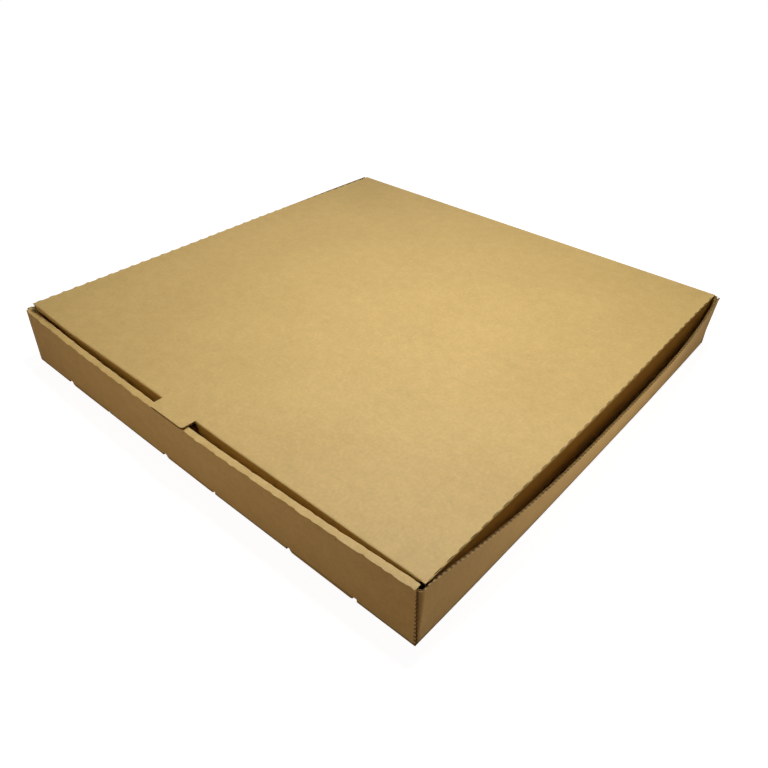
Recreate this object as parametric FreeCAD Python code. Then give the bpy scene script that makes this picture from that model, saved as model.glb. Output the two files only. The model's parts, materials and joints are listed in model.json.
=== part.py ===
import FreeCAD, Part
import math
import os

# A square pizza box folded from one sheet of thin corrugated board, shut, with its lid a little raised.
# Millimetres. X runs along the front wall, +Y to the hinge, +Z up.
# The origin is the centre of the bottom panel's underside.

BOX_WIDTH = 385.0  # outside, left to right
BOX_DEPTH = 385.0  # outside, front to back, at the bottom
WALL_HEIGHT = 45.4  # from the underside of the bottom panel to the top of the walls
BOARD = 1.6  # thickness of the board
FOLD_RADIUS = 1.2  # outside of a creased fold
SLIP = 0.2  # clearance between boards that lie against each other

# Tray
FRONT_LEAN = 2.5  # the double front wall's top stands out past its foot
RIGHT_BOW = 11.8  # the right wall's top edge bulges out at its middle
LEFT_BOW = 2.0
BOW_STATIONS = 13
BOW_FULLNESS = 3.0  # power of the bulge's curve: a higher one is flatter along the middle
CORNER_LEG = 6.0  # part of a side wall next to a corner that stays straight
FRONT_FLAP_LENGTH = 42.0  # side wall's flap inside the double front wall
REAR_FLAP_LENGTH = 60.0  # side wall's flap along the inside of the back wall
FLAP_SWING = 4.0  # length over which the front flap turns from the corner into the double wall
ROLL_END_TAPER = 2.8  # the rolled-over top is shorter at its inner edge
INNER_PANEL_INSET = 5.0  # inner front panel's ends, in from the outside of the box
FLAP_TOP_GAP = 1.0  # rear flap's top edge below the lid's underside

# Lock tabs of the inner front panel, which go through slots on the front crease
TAB_COUNT = 3
TAB_PITCH = 122.0
TAB_WIDTH = 51.4
TAB_DROP = 3.6  # how far a tab shows under the bottom panel
TAB_CORNER = 3.0
TAB_BEND_HEIGHT = 10.0  # above the bottom panel's underside
SLOT_HEIGHT = 2.4  # notch that a slot leaves in the foot of the front wall
SLOT_SPARE = 4.0  # free length of a slot beyond its tab, on the right
SLOT_PLAY = 0.3

# Lid
LID_SIDE_GAP = 0.5  # between a side wall and the lid
LID_FRONT_GAP = 4.5  # from the front wall's outside, at its foot, back to the lid's front fold
LID_RAISE = 3.0  # the lid's front edge stands this much above its shut place
LID_FLAP_HEIGHT = 38.0
LID_FLAP_END = 5.5  # from the hinge to the side flaps
LID_FLAP_FRONT = 2.5  # from the lid's front fold to the side flaps
LID_FLAP_TAPER = 7.0  # slant of the flaps' ends
FRONT_FLAP_HEIGHT = 36.0
FRONT_FLAP_INSET = 3.0  # front flap's ends, in from the lid's side
FRONT_FLAP_LEAN = 4.0  # front flap's foot leans in, to clear the front wall when the lid opens
FINGER_TAB_CENTRE = -4.5  # the tab is a little left of the box's middle
FINGER_TAB_WIDTH = 34.0
FINGER_TAB_LENGTH = 9.8
FINGER_TAB_CORNER = 2.5
PERFORATION_PITCH = 10.0
PERFORATION_CUT = 5.0
PERFORATION_WIDTH = 0.5

# Places that follow from the sizes above
SIDE = BOX_WIDTH / 2
FRONT = -BOX_DEPTH / 2
BACK = BOX_DEPTH / 2
FLAP_FACE = BACK - BOARD - SLIP  # outer face of a corner flap, at its foot
INNER_PANEL_FACE = FLAP_FACE - BOARD - SLIP  # outer face of the inner front panel, at its foot
INNER_PANEL_BACK = INNER_PANEL_FACE - BOARD
LID_SIDE = SIDE - BOARD - LID_SIDE_GAP
LID_FRONT = FRONT + LID_FRONT_GAP


def lean(z):
    """How far the front wall stands out at a height."""
    return FRONT_LEAN * z / WALL_HEIGHT


def leaned(distance, z):
    """A point of the front wall's section, a distance in front of the box's middle at its foot."""
    return (-distance - lean(z), z)


def polygon(points):
    """A flat face with straight edges through the given corners."""
    corners = [FreeCAD.Vector(*p) for p in points]
    return Part.Face(Part.makePolygon(corners + corners[:1]))


def along_x(section, x0, x1):
    """A prism with a (y, z) section."""
    return polygon([(x0, y, z) for y, z in section]).extrude(FreeCAD.Vector(x1 - x0, 0, 0))


def along_y(section, y0, y1):
    """A prism with an (x, z) section."""
    return polygon([(x, y0, z) for x, z in section]).extrude(FreeCAD.Vector(0, y1 - y0, 0))


def along_z(plan, z0, z1):
    """A prism with an (x, y) plan."""
    return polygon([(x, y, z0) for x, y in plan]).extrude(FreeCAD.Vector(0, 0, z1 - z0))


def block(x0, x1, y0, y1, z0, z1):
    return Part.makeBox(x1 - x0, y1 - y0, z1 - z0, FreeCAD.Vector(x0, y0, z0))


def mirrored(shape):
    """The same shape on the other side of the box, left for right."""
    return shape.mirror(FreeCAD.Vector(0, 0, 0), FreeCAD.Vector(1, 0, 0))


def edges_at(shape, **place):
    """Straight edges whose two ends lie at the given coordinates."""
    found = []
    for edge in shape.Edges:
        ends = [v.Point for v in edge.Vertexes]
        near = [abs(getattr(p, axis) - value) < 1e-4 for p in ends for axis, value in place.items()]
        if len(ends) == 2 and all(near):
            found.append(edge)
    return found


def one_solid(shapes):
    """Join shapes that meet face to face, and drop the seams between them."""
    joined = shapes[0].fuse(shapes[1:]).removeSplitter()
    return joined.Solids[0] if len(joined.Solids) == 1 else joined


def bottom_panel():
    """The flat floor of the tray, without the folds round it."""
    return block(-SIDE + FOLD_RADIUS, SIDE - FOLD_RADIUS, FRONT + FOLD_RADIUS, BACK - BOARD, 0, BOARD)


def back_wall():
    """The hinge wall, with its foot rounded and its top mitred at 45 degrees for the lid."""
    wall = along_x(
        [
            (BACK - BOARD, 0),
            (BACK, 0),
            (BACK, WALL_HEIGHT),
            (BACK - BOARD, WALL_HEIGHT - BOARD),
        ],
        -SIDE,
        SIDE,
    )
    return wall.makeFillet(FOLD_RADIUS, edges_at(wall, y=BACK, z=0))


def rolled_front_wall():
    """The double front wall: up from the front crease, over the top and down inside."""
    outer = -FRONT
    gap_face = outer - BOARD
    wall = along_x(
        [
            leaned(gap_face, 0),
            leaned(outer, 0),
            leaned(outer, WALL_HEIGHT),
            leaned(INNER_PANEL_BACK, WALL_HEIGHT),
            leaned(INNER_PANEL_BACK, BOARD + SLIP),
            leaned(INNER_PANEL_FACE, BOARD + SLIP),
            leaned(INNER_PANEL_FACE, WALL_HEIGHT - BOARD),
            leaned(gap_face, WALL_HEIGHT - BOARD),
        ],
        -SIDE,
        SIDE,
    )
    top_folds = [
        edge
        for distance in (outer, INNER_PANEL_BACK)
        for edge in edges_at(wall, y=leaned(distance, WALL_HEIGHT)[0], z=WALL_HEIGHT)
    ]
    wall = wall.makeFillet(FOLD_RADIUS, top_folds + edges_at(wall, y=FRONT, z=0))
    trims = [roll_end_trim(), inner_panel_end_trim()]
    return wall.cut(trims + [mirrored(trim) for trim in trims])


def roll_end_trim():
    """What the slanted cut at the right end of the rolled-over top takes away."""
    y_outer = leaned(-FRONT, WALL_HEIGHT)[0]
    y_inner = leaned(INNER_PANEL_BACK, WALL_HEIGHT)[0]
    plan = [
        (SIDE, y_outer),
        (SIDE + BOARD, y_outer),
        (SIDE + BOARD, y_inner + BOARD),
        (SIDE - ROLL_END_TAPER, y_inner + BOARD),
        (SIDE - ROLL_END_TAPER, y_inner),
    ]
    return along_z(plan, WALL_HEIGHT - BOARD, WALL_HEIGHT + BOARD)


def inner_panel_end_trim():
    """The right end of the inner panel stops short, so that the corner flap can swing in."""
    section = [
        leaned(FLAP_FACE, 0),
        leaned(FLAP_FACE, WALL_HEIGHT - BOARD),
        leaned(INNER_PANEL_BACK - BOARD, WALL_HEIGHT - BOARD),
        leaned(INNER_PANEL_BACK - BOARD, 0),
    ]
    return along_x(section, SIDE - INNER_PANEL_INSET, SIDE + BOARD)


def tab_centres():
    """Places of the lock tabs along the front wall."""
    first = -TAB_PITCH * (TAB_COUNT - 1) / 2
    return [first + TAB_PITCH * i for i in range(TAB_COUNT)]


def lock_tab(centre):
    """A tongue of the inner panel that bends out to the front crease and down through its slot."""
    face = -FRONT - BOARD - SLIP / 2
    back = face - BOARD
    tab = along_x(
        [
            leaned(INNER_PANEL_FACE, TAB_BEND_HEIGHT),
            (-face, BOARD),
            (-face, -TAB_DROP),
            (-back, -TAB_DROP),
            (-back, BOARD),
            leaned(INNER_PANEL_BACK, TAB_BEND_HEIGHT),
        ],
        centre - TAB_WIDTH / 2,
        centre + TAB_WIDTH / 2,
    )
    corners = [
        edge
        for x in (centre - TAB_WIDTH / 2, centre + TAB_WIDTH / 2)
        for edge in edges_at(tab, x=x, z=-TAB_DROP)
    ]
    return tab.makeFillet(TAB_CORNER, corners)


def lock_slot(centre):
    """The slot that takes a lock tab, cut across the front crease."""
    return block(
        centre - TAB_WIDTH / 2 - SLOT_PLAY,
        centre + TAB_WIDTH / 2 + SLOT_SPARE,
        FRONT - BOARD,
        FRONT + 2 * BOARD + SLIP / 2 + SLOT_PLAY,
        -BOARD,
        SLOT_HEIGHT,
    )


def side_fold():
    """The right-hand bottom fold, from the front corner to the back corner."""
    section = [(SIDE - BOARD, 0), (SIDE, 0), (SIDE, BOARD), (SIDE - BOARD, BOARD)]
    fold = along_y(section, -FLAP_FACE, FLAP_FACE)
    return fold.makeFillet(FOLD_RADIUS, edges_at(fold, x=SIDE, z=0))


def bowed_wall(bow):
    """The right wall between its straight ends: upright there, and leaning out most at its middle."""
    start = -FLAP_FACE + CORNER_LEG
    length = 2 * (FLAP_FACE - CORNER_LEG)
    height = WALL_HEIGHT - BOARD
    sections = []
    for i in range(BOW_STATIONS):
        share = i / (BOW_STATIONS - 1)
        out = bow * (1 - abs(2 * share - 1) ** BOW_FULLNESS)
        rise = math.sqrt(height**2 - out**2)
        y = start + length * share
        corners = [
            FreeCAD.Vector(SIDE - BOARD, y, BOARD),
            FreeCAD.Vector(SIDE, y, BOARD),
            FreeCAD.Vector(SIDE + out, y, BOARD + rise),
            FreeCAD.Vector(SIDE + out - BOARD, y, BOARD + rise),
        ]
        sections.append(Part.makePolygon(corners + corners[:1]))
    return Part.makeLoft(sections, True, False)


def rounded_corner(plan, z0, z1):
    """An upright L-shaped corner whose outer vertical edge is creased round."""
    corner = along_z(plan, z0, z1)
    x, y = plan[1]
    return corner.makeFillet(FOLD_RADIUS, edges_at(corner, x=x, y=y))


def rear_corner():
    """The right wall's rear end, with the flap that lies along the back wall."""
    inner = FLAP_FACE - BOARD
    leg = [
        (SIDE, FLAP_FACE - CORNER_LEG),
        (SIDE, FLAP_FACE),
        (SIDE - CORNER_LEG, FLAP_FACE),
        (SIDE - CORNER_LEG, inner),
        (SIDE - BOARD, inner),
        (SIDE - BOARD, FLAP_FACE - CORNER_LEG),
    ]
    flap_top = WALL_HEIGHT - BOARD - FLAP_TOP_GAP
    flap = block(SIDE - REAR_FLAP_LENGTH, SIDE - CORNER_LEG, inner, FLAP_FACE, BOARD + SLIP, flap_top)
    lid_room = block(-SIDE, SIDE - BOARD, inner - BOARD, BACK, flap_top, WALL_HEIGHT + BOARD)
    foot_room = block(-SIDE, SIDE - BOARD, inner - BOARD, BACK, 0, BOARD + SLIP)
    return one_solid([rounded_corner(leg, BOARD, WALL_HEIGHT).cut([lid_room, foot_room]), flap])


def front_flap_plan(z):
    """Corners of the right wall's front end and flap at a height, where the flap follows the lean."""
    out = -FLAP_FACE - lean(z)
    return [
        (SIDE, -FLAP_FACE + CORNER_LEG, z),
        (SIDE, -FLAP_FACE, z),
        (SIDE - FLAP_SWING, out, z),
        (SIDE - FRONT_FLAP_LENGTH, out, z),
        (SIDE - FRONT_FLAP_LENGTH, out + BOARD, z),
        (SIDE - FLAP_SWING, out + BOARD, z),
        (SIDE - BOARD, -FLAP_FACE + BOARD, z),
        (SIDE - BOARD, -FLAP_FACE + CORNER_LEG, z),
    ]


def front_corner():
    """The right wall's front end, with the flap that goes into the double front wall."""
    rings = []
    for z in (BOARD, WALL_HEIGHT):
        corners = [FreeCAD.Vector(*p) for p in front_flap_plan(z)]
        rings.append(Part.makePolygon(corners + corners[:1]))
    corner = Part.makeLoft(rings, True, True)
    edge = edges_at(corner, x=SIDE, y=-FLAP_FACE)
    corner = corner.makeFillet(FOLD_RADIUS, edge)
    reach = -FLAP_FACE + CORNER_LEG
    before = FRONT - 2 * BOARD
    flap_top = WALL_HEIGHT - BOARD - SLIP
    above = WALL_HEIGHT + BOARD
    under_roll = block(0, SIDE - BOARD, before, reach, flap_top, above)
    over_floor = block(0, SIDE - BOARD, before, reach, 0, BOARD + SLIP)
    roll_tip = block(SIDE - BOARD - SLIP, SIDE + BOARD, before, -FLAP_FACE, flap_top, above)
    return corner.cut([under_roll, over_floor, roll_tip])


def side_wall(bow):
    """The whole right wall with both of its corner flaps."""
    return one_solid([side_fold(), bowed_wall(bow), front_corner(), rear_corner()])


def tray():
    """Bottom, walls, corner flaps and lock tabs, folded from one sheet."""
    shell = one_solid(
        [
            bottom_panel(),
            back_wall(),
            rolled_front_wall(),
            side_wall(RIGHT_BOW),
            mirrored(side_wall(LEFT_BOW)),
        ]
    )
    centres = tab_centres()
    slotted = shell.cut([lock_slot(c) for c in centres])
    return one_solid([slotted] + [lock_tab(c) for c in centres])


def lid_panel():
    """The flat top with its hinge edge mitred, before the finger tab and flaps."""
    section = [
        (LID_FRONT, WALL_HEIGHT - BOARD),
        (BACK - BOARD, WALL_HEIGHT - BOARD),
        (BACK, WALL_HEIGHT),
        (LID_FRONT, WALL_HEIGHT),
    ]
    return along_x(section, -LID_SIDE, LID_SIDE)


def lid_side_flap():
    """The right-hand flap of the lid, inside the side wall, with slanted ends."""
    rear = BACK - LID_FLAP_END
    front = LID_FRONT + LID_FLAP_FRONT
    foot = WALL_HEIGHT - LID_FLAP_HEIGHT
    section = [
        (front, WALL_HEIGHT),
        (front, WALL_HEIGHT - BOARD),
        (front + LID_FLAP_TAPER, foot),
        (rear - LID_FLAP_TAPER, foot),
        (rear, WALL_HEIGHT - BOARD),
        (rear, WALL_HEIGHT),
    ]
    return along_x(section, LID_SIDE - BOARD, LID_SIDE)


def finger_tab_plan(grow):
    """The finger tab's left and right ends and its length, larger all round by a margin."""
    half = FINGER_TAB_WIDTH / 2 + grow
    return FINGER_TAB_CENTRE - half, FINGER_TAB_CENTRE + half, FINGER_TAB_LENGTH + grow


def finger_tab():
    """The tongue at the middle of the lid's front edge, with rounded corners."""
    left, right, length = finger_tab_plan(0)
    tip = LID_FRONT - length
    tab = block(left, right, tip, LID_FRONT + BOARD, WALL_HEIGHT - BOARD, WALL_HEIGHT)
    corners = edges_at(tab, x=left, y=tip) + edges_at(tab, x=right, y=tip)
    return tab.makeFillet(FINGER_TAB_CORNER, corners)


def lid_front_flap():
    """The flap under the lid's front edge, with the opening that the finger tab was cut from."""
    foot = WALL_HEIGHT - FRONT_FLAP_HEIGHT
    foot_y = LID_FRONT + FRONT_FLAP_LEAN
    half = LID_SIDE - FRONT_FLAP_INSET
    flap = along_x(
        [
            (LID_FRONT, WALL_HEIGHT),
            (LID_FRONT, WALL_HEIGHT - BOARD),
            (foot_y, foot),
            (foot_y + BOARD, foot),
            (LID_FRONT + BOARD, WALL_HEIGHT - BOARD),
            (LID_FRONT + BOARD, WALL_HEIGHT),
        ],
        -half,
        half,
    )
    end_cut = along_y(
        [
            (half, WALL_HEIGHT - BOARD),
            (half + BOARD, WALL_HEIGHT - BOARD),
            (half + BOARD, foot - BOARD),
            (half - LID_FLAP_TAPER, foot - BOARD),
            (half - LID_FLAP_TAPER, foot),
        ],
        LID_FRONT - BOARD,
        foot_y + 2 * BOARD,
    )
    tab_left, tab_right, tab_length = finger_tab_plan(SLIP)
    opening = block(
        tab_left,
        tab_right,
        LID_FRONT - BOARD,
        foot_y + 2 * BOARD,
        WALL_HEIGHT - tab_length,
        WALL_HEIGHT - BOARD,
    )
    return flap.cut([end_cut, mirrored(end_cut), opening])


def perforation():
    """The row of slits cut through the lid's right-hand fold, at 45 degrees across the corner."""
    first = LID_FRONT + LID_FLAP_FRONT + PERFORATION_PITCH / 2
    last = BACK - LID_FLAP_END - PERFORATION_CUT
    count = int((last - first) / PERFORATION_PITCH) + 1
    reach = 2 * BOARD
    slits = []
    for i in range(count):
        slit = Part.makeBox(
            PERFORATION_WIDTH,
            PERFORATION_CUT,
            2 * reach,
            FreeCAD.Vector(-PERFORATION_WIDTH / 2, first + i * PERFORATION_PITCH, -reach),
        )
        slit.rotate(FreeCAD.Vector(0, 0, 0), FreeCAD.Vector(0, 1, 0), 45)
        slit.translate(FreeCAD.Vector(LID_SIDE - BOARD / 2, 0, WALL_HEIGHT - BOARD / 2))
        slits.append(slit)
    return slits


def lid():
    """Top panel, finger tab and three flaps inside the tray, with the front edge a little raised."""
    flap = lid_side_flap()
    top = one_solid([lid_panel(), flap, mirrored(flap), lid_front_flap()])
    folds = [
        edge
        for place in ({"x": LID_SIDE}, {"x": -LID_SIDE}, {"y": LID_FRONT})
        for edge in edges_at(top, z=WALL_HEIGHT, **place)
    ]
    top = top.makeFillet(FOLD_RADIUS, folds)
    slits = perforation()
    top = one_solid([top, finger_tab()]).cut(slits + [mirrored(slit) for slit in slits])
    raised = math.degrees(math.asin(LID_RAISE / (BACK - LID_FRONT)))
    top.rotate(FreeCAD.Vector(0, BACK, WALL_HEIGHT), FreeCAD.Vector(-1, 0, 0), raised)
    return top


def save(name, shape):
    """Write one sub-part and print what it is."""
    solids = shape.Solids
    box = shape.BoundBox
    print(
        f"{name}: {len(solids)} solid, valid {shape.isValid()}, {shape.Volume:.1f} mm3, "
        f"{len(shape.Faces)} faces, x {box.XMin:.2f} to {box.XMax:.2f}, "
        f"y {box.YMin:.2f} to {box.YMax:.2f}, z {box.ZMin:.2f} to {box.ZMax:.2f}"
    )
    shape.exportStep(f"parts/{name}.step")


os.makedirs("parts", exist_ok=True)
save("tray", tray())
save("lid", lid())
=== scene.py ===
# %% [markdown]
# # A pizza box, folded from one sheet
# This lesson dresses a finished CAD model of a pizza box. The box is plain brown corrugated board:
# two flat papers, the liners, with a wavy paper, the fluting, glued between them.
# A real box starts as one die-cut blank. We do the same here: rule a flat sheet, cut its outline,
# fold it crease by crease, and only then give the paper its thickness. Each of the three papers is
# folded by the same recipe at its own depth in the board, so the cut edges show real flutes.

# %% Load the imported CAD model
import json
import math

import bmesh
import bpy
from mathutils import Matrix, Vector, noise


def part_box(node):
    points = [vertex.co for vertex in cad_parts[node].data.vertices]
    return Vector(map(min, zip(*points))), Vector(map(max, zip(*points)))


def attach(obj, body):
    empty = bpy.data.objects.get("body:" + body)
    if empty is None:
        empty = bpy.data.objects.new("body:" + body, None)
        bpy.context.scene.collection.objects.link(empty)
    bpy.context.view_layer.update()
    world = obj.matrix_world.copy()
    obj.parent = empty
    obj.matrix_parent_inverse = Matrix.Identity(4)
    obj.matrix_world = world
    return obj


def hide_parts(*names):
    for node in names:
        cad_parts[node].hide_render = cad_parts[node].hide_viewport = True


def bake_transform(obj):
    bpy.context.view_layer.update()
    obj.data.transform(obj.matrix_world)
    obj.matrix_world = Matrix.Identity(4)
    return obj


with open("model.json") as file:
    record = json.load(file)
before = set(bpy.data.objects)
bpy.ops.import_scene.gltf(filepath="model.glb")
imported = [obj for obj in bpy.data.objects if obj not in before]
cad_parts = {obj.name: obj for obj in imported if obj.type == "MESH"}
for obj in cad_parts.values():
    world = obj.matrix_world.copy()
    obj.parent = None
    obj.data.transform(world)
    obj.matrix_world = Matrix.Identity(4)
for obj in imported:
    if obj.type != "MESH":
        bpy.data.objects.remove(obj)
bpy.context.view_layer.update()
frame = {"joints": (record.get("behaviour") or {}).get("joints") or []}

# %% [markdown]
# ## The big sizes
# Blender works in metres, so each size is written in millimetres times MM. The big sizes come from the
# CAD frame itself: the hinge gives the back of the box and the height of its walls, and the lid's box
# gives its width. The box is square, with its origin in the middle of the bottom panel.

# %% Sizes from the frame
MM = 0.001
hinge = next(joint for joint in frame["joints"] if joint["name"] == "lid_hinge")
BACK = hinge["pos_m"][1]
WALL_TOP = hinge["pos_m"][2]
SIDE = BACK
LID_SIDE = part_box("lid")[1].x
BOARD = 1.6 * MM
print("side", SIDE / MM, "wall", WALL_TOP / MM, "lid", LID_SIDE / MM)

# %% [markdown]
# ## A ruled sheet
# Paper bends only where it has lines to bend on. A grid with even squares would need very small ones
# to reach every crease and cut, so we choose the lines first: one on each crease, a pair beside it to
# keep the panels flat, one on each cut, and even ones between. The grid operator makes the faces, and
# its lines are slid to those places.

# %% Rule a flat sheet
HOLD = 2.0 * MM  # the pair of lines beside a crease, and the nearest that other lines come to it
TINY = 0.01 * MM


def ruling(low, high, cuts, creases, step):
    """Places of the lines from low to high, with none nearer to a crease than its own pair."""
    places = {round(x, 7) for x in (low, high, *cuts, *creases)}
    for crease in creases:
        for pair in (crease - HOLD, crease + HOLD):
            if min(abs(pair - other) for other in creases) > HOLD - TINY:
                places.add(round(pair, 7))
    places = sorted(x for x in places if low - TINY < x < high + TINY)
    folded = {round(x, 7) for x in creases}
    lines = places[:1]
    for start, end in zip(places, places[1:]):
        parts = 1 if {start, end} & folded else max(1, round((end - start) / step))
        lines += [start + (end - start) * i / parts for i in range(1, parts + 1)]
    return lines


def ruled_sheet(xs, ys):
    """A flat grid whose lines lie at the given places."""
    bm = bmesh.new()
    bmesh.ops.create_grid(bm, x_segments=len(xs) - 1, y_segments=len(ys) - 1, size=1)
    for vert in bm.verts:
        column = round((vert.co.x + 1) / 2 * (len(xs) - 1))
        row = round((vert.co.y + 1) / 2 * (len(ys) - 1))
        vert.co = (xs[column], ys[row], 0)
    return bm


print("a small ruling in mm:", [round(x / MM, 1) for x in ruling(0, 20 * MM, [], [10 * MM], 4 * MM)])

# %% [markdown]
# ## Cutting the outline
# The die is a rule: it says of each point of the flat sheet whether it is board. Faces off the board
# are deleted. Slanted ends and round corners are cut with a few straight knives, the bisect operator.
# The flat place of each corner is kept as the UV map, in metres, so that the paper's grain can follow
# the sheet round every fold.


# %% Cut the blank
def die_cut(bm, on_board):
    """Keep the faces whose middles are on the board, and write their flat places to the UV map."""
    waste = [face for face in bm.faces if not on_board(*face.calc_center_median().xy)]
    bmesh.ops.delete(bm, geom=waste, context="FACES")
    flat = bm.loops.layers.uv.new("flat")
    for face in bm.faces:
        for loop in face.loops:
            loop[flat].uv = loop.vert.co.xy


# %% Cut slanted ends and round corners
def trim(bm, point, outward, chosen):
    """Cut off what lies outward of a line, from the faces that are chosen by their middles."""
    faces = [face for face in bm.faces if chosen(*face.calc_center_median().xy)]
    edges = dict.fromkeys(edge for face in faces for edge in face.edges)
    verts = dict.fromkeys(vert for face in faces for vert in face.verts)
    bmesh.ops.bisect_plane(
        bm,
        geom=[*faces, *edges, *verts],
        dist=TINY,
        plane_co=(*point, 0),
        plane_no=(*outward, 0),
        clear_outer=True,
    )


def round_corner(bm, corner, signs, radius, chosen, steps=6):
    """Round a corner of the flat sheet, which points to the side that signs give, with short cuts."""
    sx, sy = signs
    centre = Vector((corner[0] - sx * radius, corner[1] - sy * radius))
    for i in range(1, steps):
        angle = math.pi / 2 * i / steps
        outward = Vector((sx * math.cos(angle), sy * math.sin(angle)))
        trim(bm, centre + outward * radius, outward, chosen)


# %% [markdown]
# ## Folding
# A crease is a line on the flat blank, an angle, and the part of the blank that it carries. Folding
# starts at the outermost crease and works inwards, so each fold line is still flat on the table when
# its turn comes. A paper deeper in the board has less way to go round a corner than the outer one.
# It takes up the difference by closing in on the crease before it turns, as the real inner paper
# does when the creasing rule crushes it.

# %% A crease
SHARP = math.radians(30)  # a fold that turns more than this gets rounded


class Crease:
    """A fold line across x (axis 0) or y (axis 1) at a place, with the blank's part it belongs to."""

    def __init__(self, axis, at, turn, part):
        self.axis = axis
        self.at = at
        self.turn = turn
        self.part = part
        self.out = Vector((0, 0, 0))
        self.out[axis] = math.copysign(1, at)

    def past(self, co):
        """How far a flat point lies beyond the line."""
        return (co[self.axis] - self.at) * self.out[self.axis]


# %% Fold along the creases
def fold(bm, creases, depth):
    """Fold a flat paper that lies at a depth in the board, and return the edges of its sharp folds."""
    held = []
    folds = []
    for crease in creases:
        mine = [vert for vert in bm.verts if crease.part(*vert.co.xy)]
        line = [vert for vert in mine if abs(crease.past(vert.co)) < TINY]
        beyond = [vert for vert in mine if crease.past(vert.co) > TINY]
        held.append((crease, line, beyond))
        if abs(crease.turn) > SHARP:
            on_line = set(line)
            for vert in line:
                for edge in vert.link_edges:
                    if len(edge.link_faces) == 2 and edge.other_vert(vert) in on_line:
                        folds.append(edge)
    for crease, line, beyond in held:
        take_up = crease.out * depth * math.tan(crease.turn / 2)
        bmesh.ops.translate(bm, verts=line, vec=-take_up)
        bmesh.ops.translate(bm, verts=beyond, vec=-2 * take_up)
        corner = crease.out * abs(crease.at) - take_up + Vector((0, 0, depth))
        turn = Matrix.Rotation(crease.turn, 3, crease.out.cross(Vector((0, 0, 1))))
        bmesh.ops.rotate(bm, verts=line + beyond, cent=corner, matrix=turn)
    return list(dict.fromkeys(folds))


def round_folds(bm, folds, radius, steps):
    """Round sharp folds."""
    bmesh.ops.bevel(
        bm,
        geom=folds,
        offset=radius,
        segments=steps,
        profile=0.5,
        affect="EDGES",
        clamp_overlap=True,
        material=-1,
    )


# %% [markdown]
# ## Three papers
# Every paper is made by one function from its depth in the board. The outer liner is thickened inwards
# from the outside of the board and the inner liner outwards from the inside, so the board stays 1.6 mm
# thick. The fluting is the same blank with a sine wave pressed into it, crushed flat at the creases.
# It is made only for the walls and flaps, where its edge can be seen.

# %% The papers
LINER = 0.22 * MM
FLUTING = 0.18 * MM
FLUTE_PITCH = 3.3 * MM
FLUTE_REACH = 0.49 * MM
CRUSHED_SHARE = 0.5  # of HOLD: the flutes start this far from a crease
EVEN_STEP = 4 * MM
CREASE_RADIUS = 1.0 * MM


class Layer:
    """One of the board's papers: how deep its face lies, how thick it is, and which way it faces."""

    def __init__(self, name, depth, thickness, faces_out, step):
        self.name = name
        self.depth = depth
        self.thickness = thickness
        self.faces_out = faces_out
        self.step = step


OUTER = Layer("outer_liner", 0, LINER, True, EVEN_STEP)
INNER = Layer("inner_liner", BOARD, LINER, False, EVEN_STEP)
FLUTED = Layer("fluting", BOARD / 2 - FLUTING / 2, FLUTING, True, FLUTE_PITCH / 8)
for layer in (OUTER, INNER, FLUTED):
    print(layer.name, "at depth", round(layer.depth / MM, 2), "mm")


# %% Start a flat paper and press its flutes
def smooth(x):
    """Ease from 0 to 1."""
    x = min(max(x, 0), 1)
    return x * x * (3 - 2 * x)


def start_layer(layer, xs, ys, on_board):
    """A die-cut flat paper at its depth, with its good face turned the right way."""
    bm = ruled_sheet(xs, ys)
    die_cut(bm, on_board)
    if layer.faces_out:
        bmesh.ops.reverse_faces(bm, faces=bm.faces[:])
    bmesh.ops.translate(bm, verts=bm.verts[:], vec=(0, 0, layer.depth))
    return bm


def press_flutes(bm, x_creases, y_creases):
    """Press the flutes into a flat paper, and leave it flat near the creases."""
    for vert in bm.verts:
        gaps = [abs(vert.co.x - x) for x in x_creases] + [abs(vert.co.y - y) for y in y_creases]
        crushed = smooth(min(gaps) / HOLD - CRUSHED_SHARE)
        vert.co.z += FLUTE_REACH * crushed * math.sin(2 * math.pi * vert.co.y / FLUTE_PITCH)


# %% Finish a folded paper
UNEVEN_AMOUNT = 0.15 * MM
UNEVEN_SIZE = 60 * MM
noise.seed_set(1)  # Blender would start its noise from the clock, and each run would differ


def uneven(bm):
    """Move each point a little by smooth noise at its place, so the three papers move together."""
    for vert in bm.verts:
        vert.co += noise.noise_vector(vert.co / UNEVEN_SIZE) * UNEVEN_AMOUNT


def add_object(name, data):
    """A new object in the scene."""
    made = bpy.data.objects.new(name, data)
    bpy.context.scene.collection.objects.link(made)
    return made


def finish_piece(bm, mesh, sharp):
    """A smooth piece of kraft board, with its edges sharp from an angle on."""
    bm.to_mesh(mesh)
    bm.free()
    mesh.shade_smooth()
    mesh.set_sharp_from_angle(angle=sharp)
    piece = add_object(mesh.name, mesh)
    print(mesh.name, len(mesh.polygons), "faces")
    return piece


def finish_layer(parts, name, thickness, body):
    """Give the papers in parts their thickness and join them in one object on a body."""
    mesh = bpy.data.meshes.new(name)
    whole = bmesh.new()
    for bm in parts:
        bmesh.ops.solidify(bm, geom=bm.faces[:], thickness=thickness)
        bm.to_mesh(mesh)
        bm.free()
        whole.from_mesh(mesh)
    piece = finish_piece(whole, mesh, SHARP)
    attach(piece, body)
    return piece


# %% [markdown]
# ## The tray's blank
# The bottom panel carries four arms. The side arms end in flaps that turn the corners. The front arm
# is long: up the front, across the narrow top strip, down the inside, and into three lock tabs. They
# go through slots cut across the front crease. All places are measured on the outer paper.

# %% Sizes of the side arms
SLIP = 0.2 * MM  # between boards that lie against each other
FLAP_FACE = SIDE - BOARD - SLIP  # where a corner flap lies behind a front or back wall
FLAP_FOOT = BOARD + SLIP
FLAP_HEAD = WALL_TOP - BOARD - SLIP
REAR_FLAP_HEAD = WALL_TOP - BOARD - 1.0 * MM
FRONT_FLAP = 42 * MM
REAR_FLAP = 60 * MM


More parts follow.
